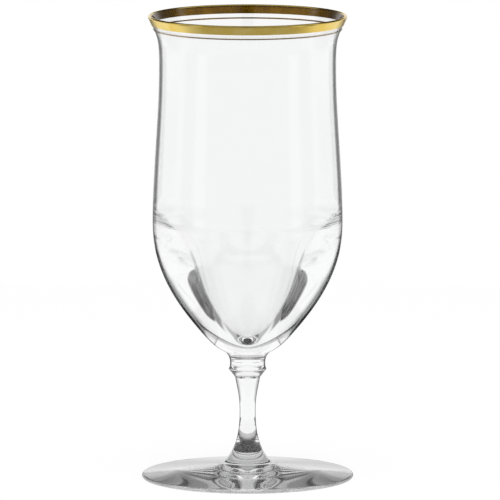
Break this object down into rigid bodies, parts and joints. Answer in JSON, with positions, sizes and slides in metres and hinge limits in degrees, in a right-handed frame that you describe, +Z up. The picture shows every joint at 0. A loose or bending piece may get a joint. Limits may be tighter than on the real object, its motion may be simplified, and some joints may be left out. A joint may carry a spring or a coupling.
{
  "type": "water goblet",
  "caption": "Stemmed drinking glass with a tall flared bowl, a collared knop, a waisted stem and a round foot, with a gold band over the lip and a gold hairline below it.",
  "frame": {"origin": "centre of the flat ring that the foot rests on", "axes": "+Z up along the axis of the glass, from the foot to the lip; the goblet is round about Z, so X and Y are free"},
  "size_m": [0.0842, 0.0842, 0.1851],
  "materials": {
    "clear_glass": "clear, fire-polished",
    "fired_gold": "bright fired gold, faintly brushed around the lip"
  },
  "bodies": {
    "root": {"bowl": "clear_glass", "knop": "clear_glass", "stem": "clear_glass", "foot": "clear_glass", "gold_rim_band": "fired_gold", "gold_hairline": "fired_gold"}
  },
  "joints": []
}
